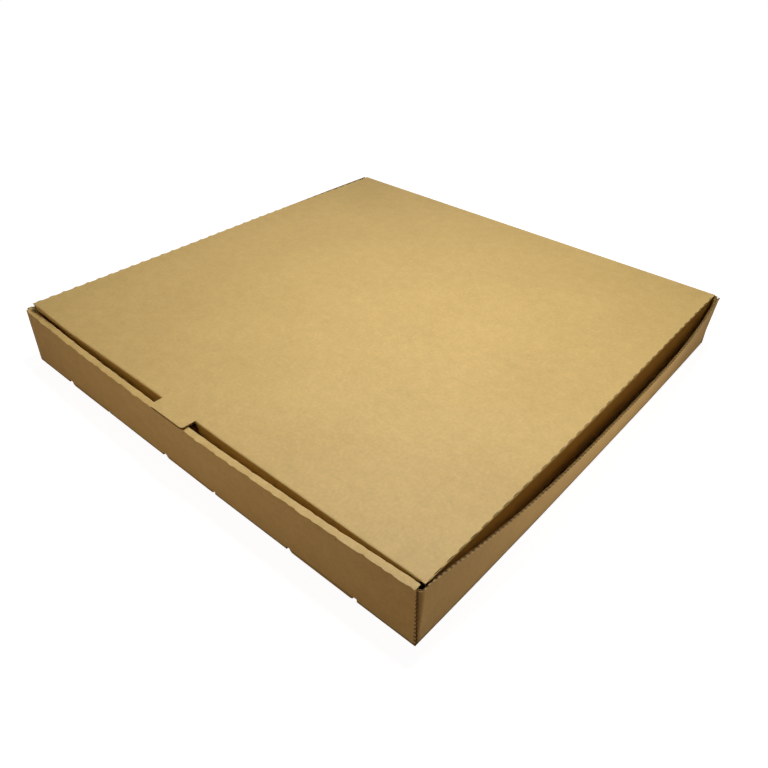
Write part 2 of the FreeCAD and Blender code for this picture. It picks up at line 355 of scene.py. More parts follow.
def on_side_arm(past, y):
    """The right or left arm, by the distance past its crease: a wall with two corner flaps."""
    if abs(y) < FLAP_FACE:
        return True
    if y < 0:
        return FLAP_FOOT < past < FLAP_HEAD and -y < FLAP_FACE + FRONT_FLAP
    return FLAP_FOOT < past < REAR_FLAP_HEAD and y < FLAP_FACE + REAR_FLAP


print("corner flaps stand", round(FLAP_HEAD / MM, 1), "and", round(REAR_FLAP_HEAD / MM, 1), "mm high")

# %% Places along the front arm, past the front crease
FRONT_LEAN = 2.5 * MM
LEAN = math.atan(FRONT_LEAN / WALL_TOP)
ROLL_WIDTH = 5.2 * MM
TAB_BEND = 10 * MM
TAB_DROP = 3.6 * MM
# A lock tab slants out from the inner panel's face to the inside of the front crease.
panel_face = SIDE - 2 * (BOARD + SLIP) + TAB_BEND * math.tan(LEAN)
tab_face = SIDE - BOARD - SLIP / 2
TAB_LEAN = math.atan((tab_face - panel_face) / (TAB_BEND - BOARD))
ROLL_START = WALL_TOP / math.cos(LEAN)
ROLL_END = ROLL_START + ROLL_WIDTH
PANEL_END = ROLL_END + (WALL_TOP - FLAP_FOOT) / math.cos(LEAN)
BEND_START = ROLL_END + (WALL_TOP - TAB_BEND) / math.cos(LEAN)
BEND_END = BEND_START + (TAB_BEND - BOARD) / math.cos(TAB_LEAN)
TAB_END = BEND_END + BOARD + TAB_DROP
print("front arm", round(TAB_END / MM, 1), "mm, tab slant", round(math.degrees(TAB_LEAN), 2))

# %% The lock tabs and their slots
TAB_CENTRES = [-122 * MM, 0, 122 * MM]
TAB_HALF = 25.7 * MM
TAB_CORNER = 3 * MM
KERF = 0.3 * MM
SLOT_HEIGHT = 2.4 * MM
SLOT_DEPTH = 3.6 * MM
SLOT_SPARE = 4 * MM
INNER_INSET = 5 * MM  # the inner panel's ends, in from the outside of the box


def in_slot(x):
    """Whether a place along the front crease is in one of the slots."""
    return any(-TAB_HALF - KERF < x - c < TAB_HALF + SLOT_SPARE for c in TAB_CENTRES)


def in_tab(x, spare=0):
    """Whether a place along the front wall is on a lock tab."""
    return any(abs(x - c) < TAB_HALF + spare for c in TAB_CENTRES)


def on_front_arm(x, past):
    """The front arm, by the distance past its crease."""
    if past < ROLL_END:
        return past > SLOT_HEIGHT or not in_slot(x)
    if past < BEND_START:
        return abs(x) < SIDE - INNER_INSET
    if in_tab(x):
        return past < TAB_END
    return past < PANEL_END and abs(x) < SIDE - INNER_INSET and not in_tab(x, KERF)


print(len(TAB_CENTRES), "lock tabs,", round(2 * TAB_HALF / MM, 1), "mm wide")

# %% The whole blank of the tray
def on_tray(x, y, back_end):
    """Which points of the tray's blank are board, up to the crease that the lid turns on."""
    if abs(x) > SIDE:
        return on_side_arm(abs(x) - SIDE, y)
    if y < -SIDE:
        return on_front_arm(x, -SIDE - y)
    if y < SLOT_DEPTH - SIDE and in_slot(x):
        return False
    return y < back_end


# %% The tray's creases, outermost first
QUARTER = math.radians(90)


def front_at(past):
    """The y of a place on the front arm."""
    return -SIDE - past


def on_right_arm(x, y):
    return x > SIDE - TINY and (abs(y) < FLAP_FACE + TINY or x > SIDE + FLAP_FOOT - TINY)


def between_sides(x, y):
    return abs(x) < SIDE + TINY


def on_flap(x, y):
    return abs(x) > SIDE + TINY


def on_tab(x, y):
    return in_tab(x, TINY)


TRAY_CREASES = [
    Crease(1, -FLAP_FACE, QUARTER, on_flap),
    Crease(1, FLAP_FACE, QUARTER, on_flap),
    Crease(0, SIDE, QUARTER, on_right_arm),
    Crease(0, -SIDE, QUARTER, lambda x, y: on_right_arm(-x, y)),
    Crease(1, front_at(BEND_END), -TAB_LEAN, on_tab),
    Crease(1, front_at(BEND_START), TAB_LEAN + LEAN, on_tab),
    Crease(1, front_at(ROLL_END), QUARTER - LEAN, between_sides),
    Crease(1, front_at(ROLL_START), QUARTER + LEAN, between_sides),
    Crease(1, front_at(0), QUARTER - LEAN, between_sides),
    Crease(1, SIDE, QUARTER, between_sides),
]
X_CREASES = [-SIDE, SIDE]
Y_CREASES = [front_at(ROLL_END), front_at(ROLL_START), -SIDE, -FLAP_FACE, FLAP_FACE, SIDE]
print(len(TRAY_CREASES), "creases in the tray")

# %% [markdown]
# ## Shaping the tray
# Nothing on a handled box is straight. The front wall's top bulges out between its ends, the right
# wall leans out most in its middle because nothing holds its top, and the bottom creases bow a little.
# Each of these is a small function of the place along the wall. The walls' own bends are applied to
# the parts of the blank that were picked before folding, so a wall takes its flaps with it.

# %% Bends of the walls
FRONT_OUT = 4.5 * MM  # the front wall's top at its fullest
FRONT_FALL = 4.3 * MM  # how much less it stands out towards its ends
FRONT_FULLEST = 10 * MM
RIGHT_BOW = 11.8 * MM
LEFT_BOW = 2 * MM
CORNER_LEG = 6 * MM
RIGHT_FRONT_END = 1.6 * MM  # the right wall's ends lean out too, at their tops
RIGHT_REAR_END = 2.6 * MM


def front_out(x):
    """How far the front wall's top stands out at a place along it."""
    return FRONT_OUT - FRONT_FALL * ((x - FRONT_FULLEST) / SIDE) ** 2


def side_out(x, y):
    """How far a side wall's top stands out at a place along it."""
    reach = FLAP_FACE - CORNER_LEG
    full = 1 - min(abs(y) / reach, 1) ** 3
    if x < 0:
        return LEFT_BOW * full
    share = min(abs(y) / FLAP_FACE, 1)
    end = RIGHT_FRONT_END * share**6 if y < 0 else RIGHT_REAR_END * share**3
    return RIGHT_BOW * full + end


print("right wall out in mm:", [round(side_out(1, y * MM) / MM, 1) for y in range(-190, 191, 38)])

# %% Bend the picked parts
FLAP_SWING = 4 * MM  # length over which a front flap turns from its corner into the double wall


def bend_front(wall, flaps):
    """Bulge the double front wall, which was folded with an even lean, and the flaps inside it."""
    for vert in wall:
        vert.co.y -= (front_out(vert.co.x) - FRONT_LEAN) * vert.co.z / WALL_TOP
    for vert in flaps:
        swing = min(max((SIDE - abs(vert.co.x)) / FLAP_SWING, 0), 1)
        vert.co.y -= swing * front_out(vert.co.x) * vert.co.z / WALL_TOP


def bend_sides(arms):
    """Lean the side walls and their flaps out."""
    height = WALL_TOP - BOARD
    for vert in arms:
        x, y, z = vert.co
        rise = max(z - BOARD, 0)
        out = side_out(x, y)
        vert.co.x += math.copysign(out * rise / height, x)
        if abs(y) < FLAP_FACE - CORNER_LEG:
            vert.co.z -= rise * (1 - math.sqrt(1 - (out / height) ** 2))


# %% Bow the bottom creases
FOOT_REACH = 30 * MM
RIGHT_FOOT_BOW = 1.3 * MM
FRONT_FOOT_BOW = 0.9 * MM


def bow_feet(bm):
    """Bow the right and front bottom edges, with less of it higher up the walls."""
    for vert in bm.verts:
        x, y, z = vert.co
        low = 1 - min(max(z / WALL_TOP, 0), 1)
        right = smooth((x - SIDE + FOOT_REACH) / FOOT_REACH)
        front = smooth((-y - SIDE + FOOT_REACH) / FOOT_REACH)
        vert.co.x += RIGHT_FOOT_BOW * low * right * max(1 - (y / SIDE) ** 2, 0)
        vert.co.y -= FRONT_FOOT_BOW * low * front * max(1 - (x / SIDE) ** 2, 0)


# %% Squeeze the roll
SQUEEZE_MIDDLE = 0.8 * MM  # the strip is narrower than three boards and their slips
SQUEEZE_END = 0.5 * MM
SQUEEZE_DEPTH = 14 * MM
SQUEEZE_END_START = 60 * MM  # the squeeze starts to ease here, in from the side
SQUEEZE_END_LENGTH = 30 * MM
WALL_SPAN = (-0.5, 1.3)  # where the double wall lies, in widths of its strip


def squeeze_roll(bm):
    """Press the rolled-over top of the front wall together."""
    for vert in bm.verts:
        x, y, z = vert.co
        across = (y + SIDE + front_out(x) * z / WALL_TOP) / ROLL_WIDTH
        if WALL_SPAN[0] < across < WALL_SPAN[1] and abs(x) < SIDE - BOARD:
            at_end = smooth((abs(x) - SIDE + SQUEEZE_END_START) / SQUEEZE_END_LENGTH)
            squeeze = SQUEEZE_MIDDLE * (1 - at_end) + SQUEEZE_END * at_end
            fade = smooth((z - WALL_TOP + SQUEEZE_DEPTH) / SQUEEZE_DEPTH)
            vert.co.y -= squeeze * fade * min(max(across, 0), 1)


# %% [markdown]
# The rolled-over strip is the roughest fold of the box. Its two edges were crushed between three
# boards, so they wander in lumps about a centimetre long. A sum of sine waves of uneven lengths
# does that, with another phase for each edge, and it fades out down the wall.

# %% Waves along the roll
OUT_PHASES = (0, 2.2)  # of the strip's outer and inner edge
UP_PHASES = (4.1, 5.5)
ROLL_WAVES = [
    (9.7 * MM, 0.4, 0.28 * MM),
    (17.3 * MM, 1.9, 0.18 * MM),
    (6.1 * MM, 3.1, 0.16 * MM),
    (31.0 * MM, 0.7, 0.18 * MM),
]


def wander(x, phase):
    """A sum of uneven waves along the roll."""
    total = 0
    for length, start, size in ROLL_WAVES:
        total += size * math.sin(2 * math.pi * x / length + start + phase)
    return total


def between_edges(x, across, phases):
    """The wander at a place across the strip, from its outer edge to its inner one."""
    return (1 - across) * wander(x, phases[0]) + across * wander(x, phases[1])


print("waves of", [round(length / MM, 1) for length, start, size in ROLL_WAVES], "mm")

# %% Roughen the roll
ROLL_DEPTH = 8 * MM
END_RISE = {-1: 0.9 * MM, 1: -0.4 * MM}  # the roll's left end is lifted, its right end sags
END_LENGTH = 8 * MM


def roughen_roll(bm):
    """Let the two edges of the rolled-over strip wander, and its ends rise or sag."""
    for vert in bm.verts:
        x, y, z = vert.co
        fade = smooth((z - WALL_TOP + ROLL_DEPTH) / ROLL_DEPTH)
        across = (y + SIDE + front_out(x)) / (ROLL_WIDTH - SQUEEZE_MIDDLE)
        if fade <= 0 or across > WALL_SPAN[1] or abs(x) > SIDE:
            continue
        across = min(max(across, 0), 1)
        ends = smooth((SIDE - abs(x)) / END_LENGTH)
        out = between_edges(x, across, OUT_PHASES)
        up = between_edges(x, across, UP_PHASES)
        vert.co.y += fade * ends * out
        rise = END_RISE[-1] if x < 0 else END_RISE[1]
        vert.co.z += fade * (ends * up + rise * (1 - ends))


# %% [markdown]
# ## Folding the tray
# The same function folds each of the three papers. The ends of the front wall and of its strip are cut
# on a slant, so that the corner behind them shows as a dark slit. The inner paper of the side
# walls stops a little lower than the outer one, as it does where the knife has crushed the edge.

# %% Cut the slanted ends and the tabs' corners
END_TAPER = {-1: 1.6 * MM, 1: 1.2 * MM}  # the front wall's left and right ends
ROLL_TAPER = {-1: 0.3 * MM, 1: 1.5 * MM}  # the strip's ends, beyond that


def cut_front_arm(bm):
    """Slant the ends of the front wall and its strip, and round the lock tabs."""
    for side, taper in END_TAPER.items():

        def at_end(x, y, start, stop):
            """Whether a point is near this end of the arm, between two distances from its crease."""
            return SIDE - 2 * INNER_INSET < side * x < SIDE and start < -SIDE - y < stop

        trim(
            bm,
            (side * SIDE, front_at(0)),
            (side * ROLL_START, -taper),
            lambda x, y: at_end(x, y, 0, ROLL_START),
        )
        trim(
            bm,
            (side * (SIDE - taper), front_at(ROLL_START)),
            (side * ROLL_WIDTH, -ROLL_TAPER[side]),
            lambda x, y: at_end(x, y, ROLL_START, ROLL_END),
        )
        for centre in TAB_CENTRES:
            round_corner(
                bm,
                (centre + side * TAB_HALF, front_at(TAB_END)),
                (side, -1),
                TAB_CORNER,
                lambda x, y: abs(x - centre) < TAB_HALF and -SIDE - y > BEND_END,
            )


# %% Places of the knives
def tray_cuts(back_end):
    """Places of the die's knives across x and across y."""
    arm = (FLAP_FOOT, FLAP_HEAD, REAR_FLAP_HEAD, -INNER_INSET)
    across_x = [s * (SIDE + past) for s in (-1, 1) for past in arm]
    for centre in TAB_CENTRES:
        across_x += [centre + s * (TAB_HALF + spare) for s in (-1, 1) for spare in (0, KERF)]
        across_x.append(centre + TAB_HALF + SLOT_SPARE)
    across_y = [front_at(past) for past in (SLOT_HEIGHT, BEND_START, BEND_END, PANEL_END, TAB_END)]
    across_y += [-FLAP_FACE - FRONT_FLAP, FLAP_FACE + REAR_FLAP, SLOT_DEPTH - SIDE, back_end]
    return across_x, across_y


# %% Fold one paper of the tray
CORNER_RADIUS = 2.2 * MM  # of the corner flaps' creases, which turn more softly
UPRIGHT = 0.7  # least share of its length that an upright edge rises


def is_upright(edge):
    """Whether an edge runs more up than along."""
    run = edge.verts[1].co - edge.verts[0].co
    return abs(run.z) > UPRIGHT * run.length


def tray_paper(layer, x_span, y_span, step_x, fluted=False):
    """A folded paper of the tray, ruled over the given spans of the blank."""
    back_end = SIDE + WALL_TOP - CREASE_RADIUS - layer.depth
    x_cuts, y_cuts = tray_cuts(back_end)
    xs = ruling(*x_span, x_cuts, X_CREASES, step_x)
    ys = ruling(*y_span, y_cuts, Y_CREASES, layer.step)
    bm = start_layer(layer, xs, ys, lambda x, y: on_tray(x, y, back_end))
    cut_front_arm(bm)
    if fluted:
        press_flutes(bm, X_CREASES, Y_CREASES)
    arms = [v for v in bm.verts if abs(v.co.x) > SIDE + TINY]
    flaps = [v for v in arms if v.co.y < -FLAP_FACE + TINY]
    wall = [v for v in bm.verts if v.co.y < -SIDE + TINY and abs(v.co.x) < SIDE + TINY]
    folds = fold(bm, TRAY_CREASES, layer.depth)
    bend_front(wall, flaps)
    bend_sides(arms)
    bow_feet(bm)
    squeeze_roll(bm)
    if layer is OUTER:
        upright = [edge for edge in folds if is_upright(edge)]
        level = [edge for edge in folds if not is_upright(edge)]
        round_folds(bm, upright, CORNER_RADIUS, 6)
        round_folds(bm, [edge for edge in level if edge.is_valid], CREASE_RADIUS, 4)
    roughen_roll(bm)
    uneven(bm)
    return bm


# %% The tray's liners
ARM_X = SIDE + WALL_TOP
LINER_STEP = 3 * MM
WHOLE_Y = (front_at(TAB_END), FLAP_FACE + REAR_FLAP)
CRUSHED_EDGE = {"outer_liner": 0, "inner_liner": 1.3 * MM, "fluting": 0.1 * MM}
tray_parts = {}
for layer in (OUTER, INNER):
    reach = ARM_X - CRUSHED_EDGE[layer.name]
    bm = tray_paper(layer, (-reach, reach), WHOLE_Y, LINER_STEP)
    tray_parts[layer.name] = finish_layer([bm], "tray_" + layer.name, layer.thickness, "tray")

# %% The tray's fluting
reach = ARM_X - CRUSHED_EDGE["fluting"]
# Each span: where it lies across and along the blank, and the step of its lines across.
flute_spans = [
    ((-SIDE, SIDE), (front_at(TAB_END), SLOT_DEPTH - SIDE), 6 * MM),
    ((-SIDE, SIDE), (SIDE, ARM_X), 40 * MM),
    ((SIDE, reach), WHOLE_Y, 15 * MM),
    ((-reach, -SIDE), WHOLE_Y, 15 * MM),
]
fluted = [tray_paper(FLUTED, *span, fluted=True) for span in flute_spans]
tray_parts["fluting"] = finish_layer(fluted, "tray_fluting", FLUTED.thickness, "tray")
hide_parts("tray")

# %% [markdown]
# ## The lid's blank
# The lid is the last panel of the same blank. It is cut and folded flat on the table like the tray,
# with its outer face down, then turned over and set on the hinge. Its side folds are perforated: a
# slit of 5 mm every 10 mm. Its finger tab is cut out of the front flap, and stays flat when the flap
# folds down. Places are measured from the hinge to the front.

# %% Sizes of the lid's blank
LID_LENGTH = 380.5 * MM
LID_FLAP = 38 * MM
LID_FLAP_REAR = 5.5 * MM
LID_FLAP_FRONT = 2.5 * MM
LID_FLAP_TAPER = 7 * MM
FRONT_FLAP_DROP = 36 * MM
FRONT_FLAP_INSET = 3 * MM
FRONT_FLAP_TILT = math.radians(12)
SIDE_FLAP_TILT = math.radians(6)
FRONT_FLAP_END = FRONT_FLAP_DROP / math.cos(FRONT_FLAP_TILT)
SLIDE = 3.2 * MM  # how far the lid's front slides to the right at the end
FINGER_CENTRE = -4.5 * MM - SLIDE  # the slide brings the tab back to its place in the CAD model
FINGER_HALF = 17 * MM
FINGER_LENGTH = 9.8 * MM
FINGER_CORNER = 2.5 * MM
FINGER_HOLE = FINGER_LENGTH + SLIP
print("lid", round(LID_LENGTH / MM, 1), "mm long, front flap", round(FRONT_FLAP_END / MM, 1), "mm")


# %% The outline of the lid's blank
def in_finger(x, spare=0):
    """Whether a place across the lid is on the finger tab."""
    return abs(x - FINGER_CENTRE) < FINGER_HALF + spare


def on_lid(x, y, rear_end):
    """Which points of the lid's blank are board."""
    past_side = abs(x) - LID_SIDE
    past_front = y - LID_LENGTH
    if past_side > 0:
        return past_side < LID_FLAP and LID_FLAP_REAR < y < LID_LENGTH - LID_FLAP_FRONT
    if past_front > 0:
        if in_finger(x):
            return past_front < FINGER_LENGTH or FINGER_HOLE < past_front < FRONT_FLAP_END
        if in_finger(x, SLIP):
            return FINGER_HOLE < past_front < FRONT_FLAP_END
        return past_front < FRONT_FLAP_END and abs(x) < LID_SIDE - FRONT_FLAP_INSET
    return y > rear_end


# %% The lid's creases
def on_front_flap(x, y):
    """The part that the front crease carries: all but the finger tab."""
    on_finger = in_finger(x, SLIP - TINY) and y < LID_LENGTH + FINGER_HOLE - TINY
    return abs(x) < LID_SIDE - FRONT_FLAP_INSET + TINY and y > LID_LENGTH - TINY and not on_finger


def on_right_flap(x, y):
    return x > LID_SIDE - TINY and LID_FLAP_REAR - TINY < y < LID_LENGTH


LID_CREASES = [
    Crease(1, LID_LENGTH, QUARTER + FRONT_FLAP_TILT, on_front_flap),
    Crease(0, LID_SIDE, QUARTER + SIDE_FLAP_TILT, on_right_flap),
    Crease(0, -LID_SIDE, QUARTER + SIDE_FLAP_TILT, lambda x, y: on_right_flap(-x, y)),
]
print(len(LID_CREASES), "creases in the lid")

# %% [markdown]
# ## The perforated folds
# A side fold of the lid bends easily because half of it is slit. On the outside each slit opens to a
# small dark mouth, and the board between two slits is squeezed out to a nub. Faces of the rounded
# fold are taken away along each slit, and the bridges are pushed out by a wave with narrow peaks.

# %% Slits and nubs
SLIT_PITCH = 10 * MM
SLIT_LENGTH = 5 * MM
SLIT_FIRST = 373 * MM  # front end of the first slit
SLIT_COUNT = 37
SLITS = []
for i in range(SLIT_COUNT):
    end = SLIT_FIRST - SLIT_PITCH * i
    SLITS.append((end - SLIT_LENGTH, end))
NUB = 0.6 * MM
NUB_REACH = 3 * MM


def perforate(bm, depth, reach):
    """Take away the middle of the rounded side folds along each slit."""
    open_faces = []
    for face in bm.faces:
        x, y, z = face.calc_center_median()
        from_corner = math.hypot(LID_SIDE - depth - abs(x), z - depth)
        if from_corner < reach and any(start < y < end for start, end in SLITS):
            open_faces.append(face)
    bmesh.ops.delete(bm, geom=open_faces, context="FACES")


def squeeze_bridges(bm):
    """Push the folds out between the slits, where the board is bent and not cut."""
    for vert in bm.verts:
        x, y, z = vert.co
        near = 1 - smooth(math.hypot(LID_SIDE - abs(x), z) / NUB_REACH)
        if near > 0 and LID_FLAP_REAR < y < LID_LENGTH - LID_FLAP_FRONT:
            turn = math.pi * (y - SLIT_FIRST - SLIT_LENGTH / 2) / SLIT_PITCH
            out = NUB * near * math.cos(turn) ** 4
            vert.co.x += math.copysign(out, x)
            vert.co.z -= out


print(SLIT_COUNT, "slits a side")

# %% [markdown]
# ## Shaping the lid
# The lid isn't flat either. Its front edge stands a little above the walls, and dips between the
# finger tab and its right end. Its right side has sunk into the tray, its left side is held up by the
# flap that rubs on the wall, and its front has slid towards the right wall, which gives way. Each of
# these is a smooth function of the place on the lid.

# %% Bends of the lid
LID_RAISE = math.asin(3.0 * MM / LID_LENGTH)
SINK = 0.6 * MM  # of the front edge's middle, below the plane
TWIST = 0.9 * MM  # the front edge's right end goes down by this, and its left end up
DIP = 0.7 * MM  # of the front edge between the finger tab and the right end
DIP_GROWTH = 0.25  # share of the half width over which the dip grows
DIP_FADE_START = 0.7  # share of the half width where it fades out, over the next share
DIP_FADE = 0.3
CURL = 2.9 * MM  # lift of the left side
CURL_START = 0.7  # share of the half width where the curl starts
CURL_LENGTH = 0.45  # share of the lid's length over which it grows
SLIDE_LENGTH = 0.62  # share of the lid's length over which the slide grows
NARROWING = 0.8 * MM  # the left side slides more than the middle, and the right side less


def bend_lid(bm):
    """Twist, curl and slide the lid, which lies level on the hinge."""
    for vert in bm.verts:
        x, y, z = vert.co
        out = max((BACK - y) / LID_LENGTH, 0)
        across = x / LID_SIDE
        curl = smooth(out / CURL_LENGTH) * smooth((-across - CURL_START) / (1 - CURL_START))
        hang = min(max((WALL_TOP - z) / LID_FLAP, 0), 1)
        dip = smooth(across / DIP_GROWTH) * (1 - smooth((across - DIP_FADE_START) / DIP_FADE))
        vert.co.z += CURL * curl - out * (SINK + TWIST * across + DIP * dip)
        vert.co.x += (SLIDE - NARROWING * across) * smooth(out / SLIDE_LENGTH) * (1 - hang)


print("lid raised", round(math.degrees(LID_RAISE), 2), "degrees")


# %% Cut the slanted ends of the lid's flaps and the finger tab's corners
def cut_flaps(bm):
    """Slant the ends of the flaps and round the finger tab."""
    for side in (-1, 1):
        for corner, slope in ((LID_FLAP_REAR, -1), (LID_LENGTH - LID_FLAP_FRONT, 1)):
            trim(
                bm,
                (side * LID_SIDE, corner),
                (side * LID_FLAP_TAPER, slope * LID_FLAP),
                lambda x, y: side * x > LID_SIDE,
            )
        trim(
            bm,
            (side * (LID_SIDE - FRONT_FLAP_INSET), LID_LENGTH),
            (side * FRONT_FLAP_END, LID_FLAP_TAPER),
            lambda x, y: side * x > 2 * FINGER_HALF and y > LID_LENGTH,
        )
        round_corner(
            bm,
            (FINGER_CENTRE + side * FINGER_HALF, LID_LENGTH + FINGER_LENGTH),
            (side, 1),
            FINGER_CORNER,
            lambda x, y: in_finger(x) and LID_LENGTH < y < LID_LENGTH + FINGER_LENGTH,
        )


# %% Fold one paper of the lid
SLIT_REACH = {"outer_liner": 0.6 * MM, "inner_liner": 0.45 * MM}
INNER_RADIUS = 0.4 * MM
# Lines across a slit and the bridge in front of it, in slit lengths from the slit's front end.
SLIT_LINES = (-1, 0, 0.25, 0.5, 0.75)


def lid_paper(layer, x_span, y_span, step_x):
    """A folded paper of the lid, ruled over the given spans of the blank and set on the hinge."""
    rear_end = CREASE_RADIUS + layer.depth
    x_cuts = [FINGER_CENTRE + s * (FINGER_HALF + spare) for s in (-1, 1) for spare in (0, SLIP)]
    x_cuts += [s * (LID_SIDE - FRONT_FLAP_INSET) for s in (-1, 1)]
    y_cuts = [rear_end, LID_FLAP_REAR, LID_LENGTH - LID_FLAP_FRONT]
    y_cuts += [LID_LENGTH + past for past in (FINGER_LENGTH, FINGER_HOLE, FRONT_FLAP_END)]
    y_cuts += [end + SLIT_LENGTH * part for start, end in SLITS for part in SLIT_LINES]
    xs = ruling(*x_span, x_cuts, [-LID_SIDE, LID_SIDE], step_x)
    ys = ruling(*y_span, y_cuts, [LID_LENGTH], layer.step)
    bm = start_layer(layer, xs, ys, lambda x, y: on_lid(x, y, rear_end))
    cut_flaps(bm)
    if layer is FLUTED:
        press_flutes(bm, [-LID_SIDE, LID_SIDE], [LID_LENGTH])
    folds = fold(bm, LID_CREASES, layer.depth)
    if layer is not FLUTED:
        round_folds(bm, folds, CREASE_RADIUS if layer is OUTER else INNER_RADIUS, 4)
        perforate(bm, layer.depth, SLIT_REACH[layer.name])
    squeeze_bridges(bm)
    bmesh.ops.rotate(bm, verts=bm.verts[:], matrix=Matrix.Rotation(math.pi, 3, "X"))
    bmesh.ops.translate(bm, verts=bm.verts[:], vec=(0, BACK, WALL_TOP))
    bend_lid(bm)
    uneven(bm)
    raised = Matrix.Rotation(-LID_RAISE, 3, "X")
    bmesh.ops.rotate(bm, verts=bm.verts[:], cent=(0, BACK, WALL_TOP), matrix=raised)
    return bm


# %% The lid's liners
LID_X = LID_SIDE + LID_FLAP
LID_Y = (0, LID_LENGTH + FRONT_FLAP_END)
lid_parts = {}
for layer in (OUTER, INNER):
    bm = lid_paper(layer, (-LID_X, LID_X), LID_Y, 2 * LINER_STEP)
    lid_parts[layer.name] = finish_layer([bm], "lid_" + layer.name, layer.thickness, "lid")

# %% The lid's fluting
flute_spans = [
    ((LID_SIDE, LID_X), LID_Y, 12 * MM),
    ((-LID_X, -LID_SIDE), LID_Y, 12 * MM),
    ((-LID_SIDE, LID_SIDE), (LID_LENGTH - 6 * MM, LID_Y[1]), 20 * MM),
]
fluted = [lid_paper(FLUTED, *span) for span in flute_spans]
lid_parts["fluting"] = finish_layer(fluted, "lid_fluting", FLUTED.thickness, "lid")
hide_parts("lid")

# %% [markdown]
# ## The hinge crease
# Between the back wall and the lid the board is crushed to a bead, and it has to bend when the lid
# opens. Its section is drawn once, as a quarter turn outside and a corner inside, and pulled along
# the hinge.

# %% The bead's section
crease_low = Vector((-LID_SIDE, BACK, WALL_TOP - CREASE_RADIUS))
crease_end = Vector((-LID_SIDE, BACK - CREASE_RADIUS, WALL_TOP))
inside = Vector((0, -BOARD, -BOARD))
bm = bmesh.new()
first = bm.verts.new(crease_low)
bmesh.ops.spin(
    bm,
    geom=[first],
    cent=(-LID_SIDE, BACK - CREASE_RADIUS, WALL_TOP - CREASE_RADIUS),
    axis=(1, 0, 0),
    angle=QUARTER,
    steps=8,
)
bm.verts.ensure_lookup_table()
arc_end = min(bm.verts, key=lambda vert: (vert.co - crease_end).length)
inner_end = bm.verts.new(crease_end + inside)
inner_corner = bm.verts.new(Vector((-LID_SIDE, BACK, WALL_TOP)) + inside)
inner_low = bm.verts.new(crease_low + inside)
bm.edges.new((arc_end, inner_end))
inner_edges = [bm.edges.new((inner_end, inner_corner)), bm.edges.new((inner_corner, inner_low))]
bm.edges.new((inner_low, first))
bmesh.ops.subdivide_edges(bm, edges=inner_edges, cuts=3)
section = bmesh.ops.contextual_create(bm, geom=bm.edges[:])["faces"]
print("section of", len(section[0].verts), "corners")

# %% Pull the bead along the hinge
BEAD_SHARP = math.radians(50)  # less than the bead's square corners, more than its round ones
pulled = bmesh.ops.extrude_face_region(bm, geom=section)["geom"]
pulled_verts = [item for item in pulled if isinstance(item, bmesh.types.BMVert)]
bmesh.ops.translate(bm, verts=pulled_verts, vec=(2 * LID_SIDE, 0, 0))
bmesh.ops.recalc_face_normals(bm, faces=bm.faces[:])
flat = bm.loops.layers.uv.new("flat")
for face in bm.faces:
    for loop in face.loops:
        loop[flat].uv = (loop.vert.co.x, SIDE + WALL_TOP + loop.vert.co.z - loop.vert.co.y)
hinge_crease = finish_piece(bm, bpy.data.meshes.new("hinge_crease"), BEAD_SHARP)
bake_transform(hinge_crease)

# %% [markdown]
# ## Kraft paper
# Brown kraft paper isn't one colour. It has soft clouds a few centimetres wide, finer mottling, short
# fibres, and dark flecks. All of these are noise textures on the sheet's flat UV map, in metres, so
# that they follow the paper round each fold. Along the creases of the bottom panel the paper is
# darkened by painted shade, the thin dark line where the walls meet the floor; the same UV map tells
# how far a point lies from a crease. On the cut tops of the side walls and the front wall's ends, dark
# spots at the flutes' spacing are painted shade of the flute hollows. The paper of the inside is a
# little darker than that of the outside.


# %% Node helpers
def add_node(tree, kind, inputs=None, **settings):
    """A node with its settings, and its inputs linked or filled."""
    node = tree.nodes.new(kind)
    for name, value in settings.items():
        setattr(node, name, value)
    for name, value in (inputs or {}).items():
        if isinstance(value, bpy.types.NodeSocket):
            tree.links.new(value, node.inputs[name])
        else:
            node.inputs[name].default_value = value
    return node


def compute(tree, operation, *values, clamp=False):
    """The result of a Math node."""
    inputs = dict(enumerate(values))
    node = add_node(tree, "ShaderNodeMath", inputs, operation=operation, use_clamp=clamp)
    return node.outputs[0]


# %% Noise and its weights
def add_noise(tree, place, scale, detail, stretch):
    """A noise pattern on a place socket, finer along an axis with a larger stretch."""
    mapping = add_node(tree, "ShaderNodeMapping", {"Vector": place, "Scale": stretch})
    inputs = {"Vector": mapping.outputs["Vector"], "Scale": scale, "Detail": detail, "Roughness": 0.55}
    return add_node(tree, "ShaderNodeTexNoise", inputs).outputs["Fac"]


def weigh(tree, base, parts):
    """A base number plus (noise - 0.5) times a weight for each part."""
    total = base
    for socket, weight in parts:
        centred = compute(tree, "SUBTRACT", socket, 0.5)
        total = compute(tree, "MULTIPLY_ADD", centred, weight, total)
    return total


# %% Distance from the bottom panel's creases
def near_creases(tree, place, width):
    """1 on the creases round the bottom panel, falling to 0 at a distance from them."""
    split = add_node(tree, "ShaderNodeSeparateXYZ", {"Vector": place})
    past = []
    for axis in ("X", "Y"):
        size = compute(tree, "ABSOLUTE", split.outputs[axis])
        past.append(compute(tree, "SUBTRACT", size, SIDE))
    gap = compute(tree, "ABSOLUTE", compute(tree, "MAXIMUM", *past))
    inputs = {"Value": gap, "From Min": 0.0, "From Max": width, "To Min": 1.0, "To Max": 0.0}
    fall = add_node(tree, "ShaderNodeMapRange", inputs, interpolation_type="SMOOTHSTEP")
    return fall.outputs["Result"]


def ramp(tree, value, start, stop):
    """0 up to a start, 1 from a stop on."""
    inputs = {"Value": value, "From Min": start, "From Max": stop}
    return add_node(tree, "ShaderNodeMapRange", inputs).outputs["Result"]


# %% Painted shade in the flute hollows
FLUTE_SHADE_WIDTH = 0.8 * MM  # how far in from a cut edge the painted shade of the flutes reaches
SPOT_HEIGHT = 1.2  # a sine of this height, lifted by this much and cut off below 0 and above 1
SPOT_LIFT = 0.4


